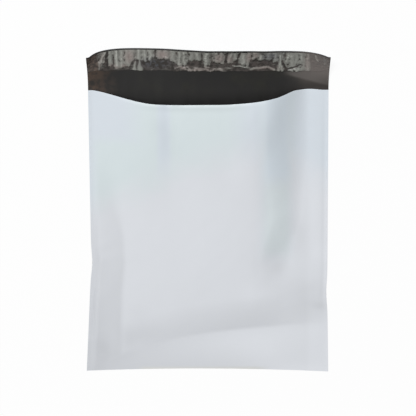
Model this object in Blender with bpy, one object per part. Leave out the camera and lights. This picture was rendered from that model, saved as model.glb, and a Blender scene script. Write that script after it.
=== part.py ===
"""Poly mailer bag, lying on its back panel with its mouth gaping and its flap open.

One web of film is folded at the bottom, welded up both sides and left long at the back as the
closing flap. The flap carries a band of glue under a crinkled release liner.

+X runs across the bag, +Y towards the flap, +Z up out of the surface that the bag lies on.
The origin is on the underside of the back panel, in the middle of the flat blank.
"""

import bisect
import math

import bmesh
import bpy
from mathutils import Vector

MM = 0.001

# Film and welds, as they lie flat
FLAT_WIDTH = 304.8 * MM
POUCH_DEPTH = 355.6 * MM
FLAP_LENGTH = 53.0 * MM
FILM = 0.4 * MM
WELD_WIDTH = 5.0 * MM
FOLD_LAND = 2.0 * MM

# Plan of the bag as it lies: each side bows in to a waist, and the bottom fold draws up
LEFT_BOTTOM_PULL = 0.3 * MM
LEFT_WAIST_PULL = 7.0 * MM
LEFT_WAIST_HEIGHT = 138.0 * MM
LEFT_MOUTH_PULL = 4.5 * MM
LEFT_FLAP_PULL = 3.2 * MM
RIGHT_BOTTOM_PULL = 1.6 * MM
RIGHT_WAIST_PULL = 3.1 * MM
RIGHT_WAIST_HEIGHT = 101.0 * MM
RIGHT_MOUTH_PULL = 2.4 * MM
RIGHT_FLAP_PULL = 0.7 * MM
PUCKER_DEPTH = 1.3 * MM
PUCKER_REACH = 17.0 * MM
BOTTOM_DRAW = 3.4 * MM
BOTTOM_SKEW = 0.8 * MM

# Gape of the mouth: the front lip arches up and draws back from the flap
MOUTH_LIFT = 30.0 * MM
LIP_DRAW = 20.0 * MM
LIP_LEAN = 5.0 * MM
RIGHT_LIP_ADVANCE = 1.6 * MM
RIGHT_LIP_ADVANCE_REACH = 15.0 * MM
RIGHT_LIP_ADVANCE_FROM_WELD = 22.2 * MM
LEFT_RAMP = 101.0 * MM
LEFT_EASE = 0.75
RIGHT_FOOT = 19.0 * MM
RIGHT_RAMP = 112.0 * MM
LIP_STEP_SHARE = 0.4
LIP_STEP_FROM_WELD = 48.5 * MM
LIP_STEP_WIDTH = 27.0 * MM

# Arch below the lip: a long ramp on its left, and a steep flank on its right that narrows,
# drifts inwards and fades
LIFT_RAMP = 205.0 * MM
LIFT_EASE = 1.25
ARCH_REACH = 150.0 * MM
FLANK_FROM_WELD = 48.5 * MM
FLANK_WIDTH = 56.0 * MM
FLANK_LOW_WIDTH = 40.0 * MM
NARROWING_START = 60.0 * MM
NARROWING_END = 160.0 * MM
FLANK_DRIFT = 15.5 * MM
DRIFT_START = 150.0 * MM
DRIFT_END = 215.0 * MM
FADE_START = 200.0 * MM
FADE_END = 255.0 * MM
LOW_RAMP = 95.0 * MM

# Slack of the front panel further down
SLACK = 1.2 * MM
PILLOW_RISE = 6.0 * MM
PILLOW_FULLNESS_ALONG = 0.5
PILLOW_FULLNESS_ACROSS = 0.6
FOLD_TAPER = 22.0 * MM
VALLEY_PRESS = 0.78
VALLEY_HEIGHT = 66.0 * MM
VALLEY_SPREAD = 115.0 * MM
VALLEY_UPPER_WIDTH = 43.0 * MM
VALLEY_UPPER_EASE = 1.9
VALLEY_LOWER_LEFT = 60.0 * MM
VALLEY_LOWER_RIGHT = 24.0 * MM
GROOVE_HOLD = 4.0 * MM
GROOVE_DEPTH = 1.9 * MM
GROOVE_WIDTH = 9.0 * MM
GROOVE_FROM_LEFT = 103.0 * MM
GROOVE_REACH = 120.0 * MM

# Shoulder that the front panel lifts beside its left weld, down to a crease
SHOULDER_RISE = 6.5 * MM
SHOULDER_CREST = 6.5 * MM
SHOULDER_CREASE = 35.0 * MM
SHOULDER_TOP = 160.0 * MM
SHOULDER_TOP_EASE = 150.0 * MM
SHOULDER_TAIL = 3.5 * MM
SHOULDER_TAIL_LENGTH = 45.0 * MM
SHOULDER_TAIL_TOP = 36.0 * MM
SHOULDER_TAIL_EASE = 32.0 * MM

# Curl of the flap
FLAP_CURL = 14.5 * MM
CURL_START = 46.0 * MM
CURL_FULL = 160.0 * MM
CURL_EASING = 2.4 * MM
CURL_EASING_START = 215.0 * MM
CURL_EASING_END = 275.0 * MM
LEFT_CORNER_CURL = 29.0 * MM
LEFT_CORNER_REACH = 24.0 * MM
RIGHT_CORNER_CURL = 15.0 * MM
RIGHT_CORNER_REACH = 24.0 * MM
STEEPEST_CURL = 0.95

# Glue and its liner, on the inner face of the flap
CLEARANCE = 0.3 * MM
LINER_FROM_EDGE = 2.6 * MM
LINER_WIDTH = 26.0 * MM
LINER_GAUGE = 0.2 * MM
GLUE_WIDTH = 20.0 * MM
GLUE_GAUGE = 0.25 * MM
STRIP_END_INSET = 1.0 * MM
RIM_LIFT = 1.6 * MM

# Pleats of the liner, left to right: distance from the left side, lean towards the flap's edge,
# height and half width at the crest, all in millimetres
PLEATS = (
    (18.5, 7.5, 2.2, 4.0),
    (34.0, 1.0, 1.6, 4.5),
    (42.5, -1.0, 3.0, 3.5),
    (51.0, 0.5, 1.2, 3.5),
    (63.0, -6.0, 2.2, 6.0),
    (82.0, 1.5, 1.4, 6.5),
    (104.0, -1.0, 1.8, 4.0),
    (114.0, 1.5, 1.6, 4.0),
    (124.5, -1.0, 2.0, 4.5),
    (139.0, 2.0, 1.2, 5.0),
    (158.0, -4.0, 1.6, 4.0),
    (169.0, 1.5, 2.4, 4.5),
    (183.5, -2.0, 1.9, 5.0),
    (201.0, 9.0, 2.4, 5.0),
    (217.0, -1.5, 1.8, 5.5),
    (230.0, -0.5, 3.2, 3.0),
    (243.0, 7.0, 2.6, 7.5),
    (263.0, 0.0, 2.8, 4.5),
    (275.5, 0.5, 2.0, 3.5),
    (288.0, -1.0, 1.2, 5.0),
)
PLEAT_FLARE = 0.5

# How finely the film is faceted
COLUMN_PITCH = 7.0 * MM
ROW_PITCH = 17.0 * MM
FLAP_ROWS = 6
LINER_SPLITS = 2
ROUNDING = 1e-6
SHARP_ANGLE = math.radians(40)

# Colours and roughness
WHITE_FILM = (0.72, 0.76, 0.80, 1.0)
GREY_FILM = (0.030, 0.029, 0.028, 1.0)
GLUE = (0.30, 0.29, 0.26, 1.0)
LINER = (0.20, 0.19, 0.18, 1.0)
FILM_ROUGHNESS = 0.45
GLUE_ROUGHNESS = 0.6
LINER_ROUGHNESS = 0.35

BOTTOM_Y = -(POUCH_DEPTH + FLAP_LENGTH) / 2
MOUTH_Y = BOTTOM_Y + POUCH_DEPTH
HALF_WIDTH = FLAT_WIDTH / 2
LINER_TOP = FLAP_LENGTH - LINER_FROM_EDGE
LINER_FOOT = LINER_TOP - LINER_WIDTH
GLUE_FOOT = LINER_FOOT + (LINER_WIDTH - GLUE_WIDTH) / 2
GLUE_TOP = GLUE_FOOT + GLUE_WIDTH


def clamp(value):
    """The value held between 0 and 1."""
    return min(max(value, 0.0), 1.0)


def smooth(value):
    """A smooth step from 0 to 1."""
    t = clamp(value)
    return t * t * (3 - 2 * t)


def bell(distance, width):
    """A smooth bump of height 1."""
    return math.exp(-((distance / width) ** 2))


def bow(height, bottom_pull, waist_height, waist_pull, mouth_pull):
    """How far a side is drawn in at a height above the bottom fold."""
    if height < waist_height:
        pull = bottom_pull + (waist_pull - bottom_pull) * height / waist_height
    else:
        way = (height - waist_height) / (POUCH_DEPTH - waist_height)
        pull = waist_pull + (mouth_pull - waist_pull) * way
    return pull + PUCKER_DEPTH * bell(height - waist_height, PUCKER_REACH)


def side_x(height, flat_x):
    """Where a line along the film at flat_x lies across the bag, at a height above the fold."""
    if height <= POUCH_DEPTH:
        left = bow(
            height, LEFT_BOTTOM_PULL, LEFT_WAIST_HEIGHT, LEFT_WAIST_PULL, LEFT_MOUTH_PULL
        )
        right = bow(
            height, RIGHT_BOTTOM_PULL, RIGHT_WAIST_HEIGHT, RIGHT_WAIST_PULL, RIGHT_MOUTH_PULL
        )
    else:
        way = smooth((height - POUCH_DEPTH) / FLAP_LENGTH)
        left = LEFT_MOUTH_PULL + (LEFT_FLAP_PULL - LEFT_MOUTH_PULL) * way
        right = RIGHT_MOUTH_PULL + (RIGHT_FLAP_PULL - RIGHT_MOUTH_PULL) * way
    share = (flat_x + HALF_WIDTH) / FLAT_WIDTH
    return flat_x + left * (1 - share) - right * share


def bottom_y(flat_x):
    """The bottom fold, drawn up in its middle and lying a little askew."""
    across = flat_x / HALF_WIDTH
    return BOTTOM_Y + BOTTOM_DRAW * (1 - across**2) - BOTTOM_SKEW * across


def lip_profile(flat_x):
    """How far the lip draws back, from 0 at its feet to 1."""
    left = flat_x + HALF_WIDTH - WELD_WIDTH
    right = HALF_WIDTH - WELD_WIDTH - flat_x
    rise = smooth(clamp(left / LEFT_RAMP) ** LEFT_EASE)
    step = LIP_STEP_SHARE * smooth((right - LIP_STEP_FROM_WELD) / LIP_STEP_WIDTH + 0.5)
    return rise * (step + (1 - LIP_STEP_SHARE) * smooth((right - RIGHT_FOOT) / RIGHT_RAMP))


def arch_profile(flat_x, below_lip):
    """The arch of the front panel, from 0 at its feet to 1 on its crown."""
    left = flat_x + HALF_WIDTH - WELD_WIDTH
    right = HALF_WIDTH - WELD_WIDTH - flat_x
    rise = 1 - (1 - clamp(left / LIFT_RAMP)) ** LIFT_EASE
    narrowing = smooth((below_lip - NARROWING_START) / (NARROWING_END - NARROWING_START))
    width = FLANK_WIDTH + (FLANK_LOW_WIDTH - FLANK_WIDTH) * narrowing
    drift = FLANK_DRIFT * smooth((below_lip - DRIFT_START) / (DRIFT_END - DRIFT_START))
    fall = smooth((right - FLANK_FROM_WELD - drift) / width + 0.5)
    fade = smooth((below_lip - FADE_START) / (FADE_END - FADE_START))
    return rise * (fall + (smooth(right / LOW_RAMP) - fall) * fade)


def valley_share(flat_x, height):
    """The long valley across the foot of the front panel, 1 on its line."""
    line = VALLEY_HEIGHT * (1 - math.exp(-(flat_x + HALF_WIDTH) / VALLEY_SPREAD))
    away = height - line
    across = (flat_x + HALF_WIDTH) / FLAT_WIDTH
    if away > 0:
        return (1 - clamp(away / VALLEY_UPPER_WIDTH)) ** VALLEY_UPPER_EASE
    width = VALLEY_LOWER_LEFT + (VALLEY_LOWER_RIGHT - VALLEY_LOWER_LEFT) * across
    return 1 / (1 + (away / width) ** 2)


def left_shoulder(flat_x, height):
    """The rise beside the left weld: it falls straight to a crease, and slowly near the fold."""
    left = flat_x + HALF_WIDTH - WELD_WIDTH
    slope = clamp((SHOULDER_CREASE - left) / (SHOULDER_CREASE - SHOULDER_CREST))
    end = smooth((SHOULDER_TOP - height) / SHOULDER_TOP_EASE + 0.5)
    low = smooth((SHOULDER_TAIL_TOP - height) / SHOULDER_TAIL_EASE + 0.5)
    tail = SHOULDER_TAIL * math.exp(-left / SHOULDER_TAIL_LENGTH) * low
    return (SHOULDER_RISE * slope * end * (1 - low) + tail) * smooth(left / SHOULDER_CREST)


def front_gap(flat_x, height):
    """How far the front panel stands off the back panel."""
    from_weld = HALF_WIDTH - WELD_WIDTH - abs(flat_x)
    if from_weld <= 0 or height <= FOLD_LAND:
        return 0.0
    below_lip = POUCH_DEPTH - height
    across = 1 - (flat_x / (HALF_WIDTH - WELD_WIDTH)) ** 2
    foot = 1 - math.exp(-(height - FOLD_LAND) / FOLD_TAPER)
    arch = MOUTH_LIFT * arch_profile(flat_x, below_lip)
    arch /= 1 + (below_lip / ARCH_REACH) ** 2
    swell = max(math.sin(math.pi * height / POUCH_DEPTH), 0.0) ** PILLOW_FULLNESS_ALONG
    pillow = (SLACK + PILLOW_RISE * swell) * across**PILLOW_FULLNESS_ACROSS
    gap = (arch + pillow) * (1 - VALLEY_PRESS * valley_share(flat_x, height))
    gap = (gap + left_shoulder(flat_x, height)) * foot
    groove = GROOVE_DEPTH * bell(flat_x + HALF_WIDTH - GROOVE_FROM_LEFT, GROOVE_WIDTH)
    groove *= 1 - smooth(below_lip / GROOVE_REACH)
    return gap - groove * gap / (gap + GROOVE_HOLD)


def back_point(flat_x, height):
    """A point on the underside of the back panel."""
    foot = bottom_y(flat_x)
    y = foot + (MOUTH_Y - foot) * height / POUCH_DEPTH
    return Vector((side_x(height, flat_x), y, 0.0))


def front_point(flat_x, height):
    """A point on the inner face of the front panel."""
    foot = bottom_y(flat_x)
    from_weld = HALF_WIDTH - WELD_WIDTH - flat_x
    from_crest = from_weld - RIGHT_LIP_ADVANCE_FROM_WELD
    advance = RIGHT_LIP_ADVANCE * bell(from_crest, RIGHT_LIP_ADVANCE_REACH)
    draw = LIP_DRAW * lip_profile(flat_x)
    lean = LIP_LEAN * arch_profile(flat_x, 0.0)
    lip = MOUTH_Y + advance - draw + lean
    y = foot + (lip - foot) * height / POUCH_DEPTH
    return Vector((side_x(height, flat_x), y, FILM + front_gap(flat_x, height)))


def flap_curl(flat_x):
    """How far the flap's free edge has curled up."""
    left = flat_x + HALF_WIDTH
    right = HALF_WIDTH - flat_x
    curl = FLAP_CURL * smooth((left - CURL_START) / (CURL_FULL - CURL_START))
    curl -= CURL_EASING * smooth((left - CURL_EASING_START) / (CURL_EASING_END - CURL_EASING_START))
    curl += LEFT_CORNER_CURL * math.exp(-left / LEFT_CORNER_REACH)
    curl += RIGHT_CORNER_CURL * math.exp(-right / RIGHT_CORNER_REACH)
    return curl


def flap_point(flat_x, reach):
    """A point on the inner face of the flap, at a reach from the mouth along the film."""
    curl = flap_curl(flat_x)
    share = reach / FLAP_LENGTH
    steepest = min(2 * curl * share / FLAP_LENGTH, STEEPEST_CURL)
    along = reach * (1 - steepest**2 / 6 - steepest**4 / 40)
    x = side_x(POUCH_DEPTH + reach, flat_x)
    return Vector((x, MOUTH_Y + along, FILM + curl * share**2))


def stations(stops, pitch):
    """Stations through all the stops, evenly spread between them at no more than a pitch."""
    places = [stops[0]]
    for start, end in zip(stops, stops[1:]):
        count = max(1, math.ceil((end - start) / pitch - ROUNDING))
        places += [start + (end - start) * (i + 1) / count for i in range(count)]
    return places


def film_columns():
    """Stations across the film, with one along each weld's inner edge."""
    weld = HALF_WIDTH - WELD_WIDTH
    return stations([-HALF_WIDTH, -weld, 0.0, weld, HALF_WIDTH], COLUMN_PITCH)


def flap_rows():
    """Stations along the flap, with one under each edge of the glue."""
    return stations([0.0, GLUE_FOOT, GLUE_TOP, FLAP_LENGTH], FLAP_LENGTH / FLAP_ROWS)


def glue_rows():
    """The flap's stations that lie under the glue."""
    return [r for r in flap_rows() if GLUE_FOOT - ROUNDING <= r <= GLUE_TOP + ROUNDING]


def on_flap(flat_x, reach):
    """A point on the flat triangles between the flap's stations."""
    columns, rows = film_columns(), flap_rows()
    i = min(max(bisect.bisect_right(columns, flat_x) - 1, 0), len(columns) - 2)
    j = min(max(bisect.bisect_right(rows, reach) - 1, 0), len(rows) - 2)
    across = (flat_x - columns[i]) / (columns[i + 1] - columns[i])
    along = (reach - rows[j]) / (rows[j + 1] - rows[j])
    here, there = columns[i], columns[i + 1]
    if flat_x >= 0.0:
        here, there, across = there, here, 1 - across
    near, far = flap_point(here, rows[j]), flap_point(there, rows[j + 1])
    if across >= along:
        turn = flap_point(there, rows[j])
        return near + (turn - near) * across + (far - turn) * along
    turn = flap_point(here, rows[j + 1])
    return near + (turn - near) * along + (far - turn) * across


def row_of(mesh, points):
    """A row of vertices."""
    return [mesh.verts.new(p) for p in points]


def face(mesh, corners, inside=False):
    """A triangle or polygon, left out where neighbours share a vertex."""
    loop = [v for i, v in enumerate(corners) if v is not corners[i - 1]]
    if len(loop) > 2:
        made = mesh.faces.new(loop)
        made.material_index = 1 if inside else 0


def weave(mesh, lower, upper, inside=False):
    """Triangles between two rows, cut on diagonals that mirror each other about the middle."""
    for i in range(len(lower) - 1):
        if 2 * i < len(lower) - 1:
            face(mesh, (lower[i], lower[i + 1], upper[i + 1]), inside)
            face(mesh, (lower[i], upper[i + 1], upper[i]), inside)
        else:
            face(mesh, (lower[i], lower[i + 1], upper[i]), inside)
            face(mesh, (lower[i + 1], upper[i + 1], upper[i]), inside)


def fan(mesh, row, pair, inside=False):
    """Triangles from a full row to a row of only two vertices."""
    middle = len(row) // 2
    for i in range(middle):
        face(mesh, (row[i], row[i + 1], pair[0]), inside)
    face(mesh, (row[middle], pair[1], pair[0]), inside)
    for i in range(middle, len(row) - 1):
        face(mesh, (row[i], row[i + 1], pair[1]), inside)


def raised(points, rise):
    """The same points, higher by a rise."""
    return [p + Vector((0.0, 0.0, rise)) for p in points]


def shade(obj):
    """Smooth shading with the cut edges left sharp."""
    obj.data.shade_smooth()
    obj.data.set_sharp_from_angle(angle=SHARP_ANGLE)


def add_object(name, mesh, materials):
    """A named object from a finished mesh, with its normals facing out."""
    bmesh.ops.recalc_face_normals(mesh, faces=mesh.faces)
    data = bpy.data.meshes.new(name)
    mesh.to_mesh(data)
    mesh.free()
    for material in materials:
        data.materials.append(material)
    obj = bpy.data.objects.new(name, data)
    bpy.context.scene.collection.objects.link(obj)
    shade(obj)
    return obj


def make_material(name, colour, roughness):
    """A plain coloured plastic."""
    material = bpy.data.materials.new(name)
    material.use_nodes = True
    shader = material.node_tree.nodes["Principled BSDF"]
    shader.inputs["Base Color"].default_value = colour
    shader.inputs["Roughness"].default_value = roughness
    shader.inputs["Metallic"].default_value = 0.0
    return material


def add_pouch(mesh, columns, heights):
    """Front panel, bottom fold, back panel and welds. Returns the mouth's two back rows."""
    inner_columns = columns[1:-1]
    sides = (columns[0], columns[-1])
    weld_lines = (columns[1], columns[-2])

    under = [row_of(mesh, [back_point(x, heights[0]) for x in columns])]
    under += [row_of(mesh, [back_point(x, h) for x in sides]) for h in heights[1:-1]]
    under.append(row_of(mesh, [back_point(x, heights[-1]) for x in columns]))

    floor_rows = [row_of(mesh, [front_point(x, FOLD_LAND) for x in inner_columns])]
    for h in heights[1:-1]:
        floor_rows.append(row_of(mesh, raised([back_point(x, h) for x in weld_lines], FILM)))
    floor_rows.append(row_of(mesh, raised([back_point(x, heights[-1]) for x in columns], FILM)))

    roof_rows = [floor_rows[0]]
    for k, h in enumerate(heights[1:-1], start=1):
        middle = row_of(mesh, [front_point(x, h) for x in inner_columns[1:-1]])
        roof_rows.append([floor_rows[k][0], *middle, floor_rows[k][1]])
    middle = row_of(mesh, [front_point(x, heights[-1]) for x in inner_columns[1:-1]])
    mouth = floor_rows[-1]
    roof_rows.append([mouth[1], *middle, mouth[-2]])

    outer = [row_of(mesh, raised([front_point(x, h) for x in columns], FILM)) for h in heights]
    nose = [back_point(x, 0.0) + Vector((0.0, -FILM, FILM)) for x in columns]
    nose = row_of(mesh, nose)

    fan(mesh, under[0], under[1])
    for lower, upper in zip(under[1:-2], under[2:-1]):
        weave(mesh, lower, upper)
    fan(mesh, under[-1], under[-2])

    fan(mesh, floor_rows[0], floor_rows[1], inside=True)
    for lower, upper in zip(floor_rows[1:-2], floor_rows[2:-1]):
        weave(mesh, lower, upper, inside=True)
    fan(mesh, mouth[1:-1], floor_rows[-2], inside=True)

    for lower, upper in zip(roof_rows, roof_rows[1:]):
        weave(mesh, lower, upper, inside=True)
    for lower, upper in zip(outer, outer[1:]):
        weave(mesh, lower, upper)

    weave(mesh, under[0], nose)
    weave(mesh, nose, outer[0])
    weave(mesh, outer[-1], [mouth[0], *roof_rows[-1], mouth[-1]])
    for end in (0, -1):
        face(mesh, (under[0][end], nose[end], outer[0][end]))
        for k in range(len(heights) - 2):
            strip = (under[k][end], under[k + 1][end], outer[k + 1][end], outer[k][end])
            face(mesh, strip)
        last = (under[-2][end], under[-1][end], mouth[end], outer[-1][end], outer[-2][end])
        face(mesh, last)
    return under[-1], mouth


def add_flap(mesh, columns, under_mouth, mouth):
    """The back panel's film carried on past the mouth."""
    under, top = [under_mouth], [mouth]
    for reach in flap_rows()[1:]:
        points = [flap_point(x, reach) for x in columns]
        under.append(row_of(mesh, raised(points, -FILM)))
        top.append(row_of(mesh, points))
    for lower, upper in zip(under, under[1:]):
        weave(mesh, lower, upper)
    for lower, upper in zip(top, top[1:]):
        weave(mesh, lower, upper, inside=True)
    weave(mesh, under[-1], top[-1])
    for end in (0, -1):
        for k in range(len(top) - 1):
            face(mesh, (under[k][end], under[k + 1][end], top[k + 1][end], top[k][end]))


def make_film_pouch():
    """The bag itself, one folded and welded piece of film, white outside and grey inside."""
    mesh = bmesh.new()
    columns = film_columns()
    heights = stations([0.0, POUCH_DEPTH], ROW_PITCH)
    under_mouth, mouth = add_pouch(mesh, columns, heights)
    add_flap(mesh, columns, under_mouth, mouth)
    white = make_material("white_film", WHITE_FILM, FILM_ROUGHNESS)
    grey = make_material("grey_film", GREY_FILM, FILM_ROUGHNESS)
    return add_object("film_pouch", mesh, [white, grey])


def strip_columns(splits):
    """The film's stations between the strip's ends, each gap split further."""
    end = HALF_WIDTH - STRIP_END_INSET
    kept = [x for x in film_columns() if abs(x) < end - STRIP_END_INSET]
    stops = [-end, *kept, end]
    places = [stops[0]]
    for start, stop in zip(stops, stops[1:]):
        places += [start + (stop - start) * (i + 1) / splits for i in range(splits)]
    return places


def make_strip(name, columns, rows, foot_of, gauge, material):
    """A thin closed band along the flap, whose underside stands foot_of above the film."""
    mesh = bmesh.new()
    lower, upper = [], []
    for reach in rows:
        points = []
        for x in columns:
            points.append(on_flap(x, reach) + Vector((0.0, 0.0, foot_of(x, reach))))
        lower.append(row_of(mesh, points))
        upper.append(row_of(mesh, raised(points, gauge)))
    for grid in (lower, upper):
        for near, far in zip(grid, grid[1:]):
            weave(mesh, near, far)
    for edge in (0, -1):
        weave(mesh, lower[edge], upper[edge])
        weave(mesh, [r[edge] for r in lower], [r[edge] for r in upper])
    return add_object(name, mesh, [material])


def make_adhesive_strip():
    """The band of glue."""
    glue = make_material("hot_melt_glue", GLUE, GLUE_ROUGHNESS)
    return make_strip(
        "adhesive_strip", strip_columns(1), glue_rows(), lambda x, reach: CLEARANCE, GLUE_GAUGE, glue
    )


def pleat_height(flat_x, reach):
    """How far the liner has crinkled away from the glue."""
    place = (flat_x + HALF_WIDTH) / MM
    share = (reach - LINER_FOOT) / LINER_WIDTH
    height = 0.0
    for middle, lean, crest, half_width in PLEATS:
        spread = half_width * (1 + PLEAT_FLARE * (1 - share))
        away = abs(place - middle - lean * (share - 0.5)) / spread
        height = max(height, crest * (1 - away))
    rim = RIM_LIFT * (1 - share) ** 3
    return height * MM + rim


def make_release_liner():
    """The crinkled liner over the glue."""
    nested = glue_rows()
    rows = [LINER_FOOT, nested[0]]
    for start, stop in zip(nested, nested[1:]):
        rows += [start + (stop - start) * (i + 1) / LINER_SPLITS for i in range(LINER_SPLITS)]
    rows.append(LINER_TOP)
    foot = 2 * CLEARANCE + GLUE_GAUGE
    liner = make_material("liner_film", LINER, LINER_ROUGHNESS)

    def foot_of(x, reach):
        return foot + pleat_height(x, reach)

    return make_strip(
        "release_liner", strip_columns(LINER_SPLITS), rows, foot_of, LINER_GAUGE, liner
    )


def main():
    """Clear the scene and build the three pieces."""
    for obj in list(bpy.data.objects):
        bpy.data.objects.remove(obj, do_unlink=True)
    make_film_pouch()
    make_adhesive_strip()
    make_release_liner()


main()
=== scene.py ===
"""Poly mailer bag, dressed around its CAD frame.

One web of film, white outside and dark grey inside, is folded at the bottom, welded up both
sides and left long at the back as the closing flap. The flap's glue lies under a crinkled liner.

+X runs across the bag, +Y towards the flap and +Z up, as in the frame. Lengths are in metres.
"""

import logging
import math
from dataclasses import dataclass
from enum import Enum

import bpy
import numpy as np
from mathutils import Euler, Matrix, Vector


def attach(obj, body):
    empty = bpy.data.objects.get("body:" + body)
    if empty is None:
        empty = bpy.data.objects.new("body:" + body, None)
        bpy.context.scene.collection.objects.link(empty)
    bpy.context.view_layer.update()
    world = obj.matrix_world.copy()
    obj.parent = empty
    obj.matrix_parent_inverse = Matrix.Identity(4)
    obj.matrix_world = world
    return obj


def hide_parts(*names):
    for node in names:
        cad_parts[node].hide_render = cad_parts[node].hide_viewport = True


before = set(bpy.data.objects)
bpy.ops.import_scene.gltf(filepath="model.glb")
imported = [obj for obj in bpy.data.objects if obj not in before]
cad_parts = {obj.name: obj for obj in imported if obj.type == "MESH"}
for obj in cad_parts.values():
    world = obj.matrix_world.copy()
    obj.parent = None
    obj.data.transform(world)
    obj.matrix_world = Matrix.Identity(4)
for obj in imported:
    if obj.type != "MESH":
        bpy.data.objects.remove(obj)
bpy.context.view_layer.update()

MM = 0.001
LOG = logging.getLogger("mailer")
Colour = tuple[float, float, float]
Reach = tuple[float, float]
Stops = tuple[float, float, float, float]
Array = np.ndarray
Socket = bpy.types.NodeSocket


# Shaping functions


def smooth(value: Array) -> Array:
    """A smooth step from 0 to 1."""
    t = np.clip(value, 0.0, 1.0)
    return t * t * (3.0 - 2.0 * t)


def bell(distance: Array, width: float) -> Array:
    """A smooth bump of height 1."""
    return np.exp(-((distance / width) ** 2))


def tent(distance: Array, width: Array) -> Array:
    """A sharp ridge of height 1 whose flanks are straight."""
    return np.clip(1.0 - np.abs(distance) / width, 0.0, 1.0)


def window(value: Array, start: float, end: float, ease: float) -> Array:
    """1 between two places and 0 outside them, eased at both."""
    return smooth((value - start) / ease + 0.5) * smooth((end - value) / ease + 0.5)


@dataclass(frozen=True)
class Spot:
    """A soft-edged spot on a film.

    Attributes:
        across: its middle across the film, in millimetres from the left.
        along: its middle along the film.
        reach_across: how far it reaches across, in millimetres.
        reach_along: how far it reaches along.
        share: how strong it is.
    """

    across: float
    along: float
    reach_across: float
    reach_along: float
    share: float

    def at(self, across: Array, along: Array) -> Array:
        """The spot's strength at some places."""
        spread = bell(across - self.across, self.reach_across)
        return self.share * spread * bell(along - self.along, self.reach_along)


@dataclass(frozen=True)
class Ripple:
    """Seeded soft waves that run every way over a surface.

    Attributes:
        seed: starts the draw of the waves.
        wavelength: middle length of a wave.
        waves: how many are summed.
        stretch: how much longer the waves are along the second axis than along the first.
    """

    seed: int
    wavelength: float
    waves: int = 18
    stretch: float = 1.0

    def at(self, across: Array, along: Array) -> Array:
        """The waves' height at some places, between about -1 and 1."""
        draw = np.random.default_rng(self.seed)
        total = np.zeros_like(across)
        for _ in range(self.waves):
            heading = draw.uniform(0.0, math.pi)
            pace = 2.0 * math.pi / (self.wavelength * draw.uniform(0.6, 1.7))
            phase = draw.uniform(0.0, 2.0 * math.pi)
            walk = across * math.cos(heading) + along * math.sin(heading) / self.stretch
            total += np.sin(walk * pace + phase)
        return total / math.sqrt(self.waves)


@dataclass(frozen=True)
class Crumple:
    """Seeded flat facets that meet at sharp creases, as in film that has been crushed.

    Attributes:
        seed: starts the draw of the facets.
        cell: middle width of a facet.
        slope: steepest slope of a facet.
    """

    seed: int
    cell: float
    slope: float

    def at(self, across: Array, along: Array) -> Array:
        """The facets' height at some places.

        Args:
            across: places along the first axis.
            along: places along the second axis.

        Returns:
            One height a place, 0 in the middle of each facet.
        """
        draw = np.random.default_rng(self.seed)
        low = np.array((across.min(), along.min()))
        span = np.array((np.ptp(across), np.ptp(along)))
        count = max(8, int(span[0] * span[1] / self.cell**2))
        hubs = low + draw.uniform(-0.05, 1.05, (count, 2)) * span
        tilt = draw.uniform(-self.slope, self.slope, (count, 2))
        best = np.full(across.shape, np.inf)
        second = np.full(across.shape, np.inf)
        height = np.zeros_like(across)
        for hub, lean in zip(hubs, tilt):
            dx, dy = across - hub[0], along - hub[1]
            away = np.hypot(dx, dy)
            rise = dx * lean[0] + dy * lean[1]
            closer = away < best
            second = np.where(closer, best, np.minimum(second, away))
            height = np.where(closer, rise, height)
            best = np.where(closer, away, best)
        blend = smooth((second - best) / (0.5 * self.cell))
        return height * blend


# The bag's form


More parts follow.
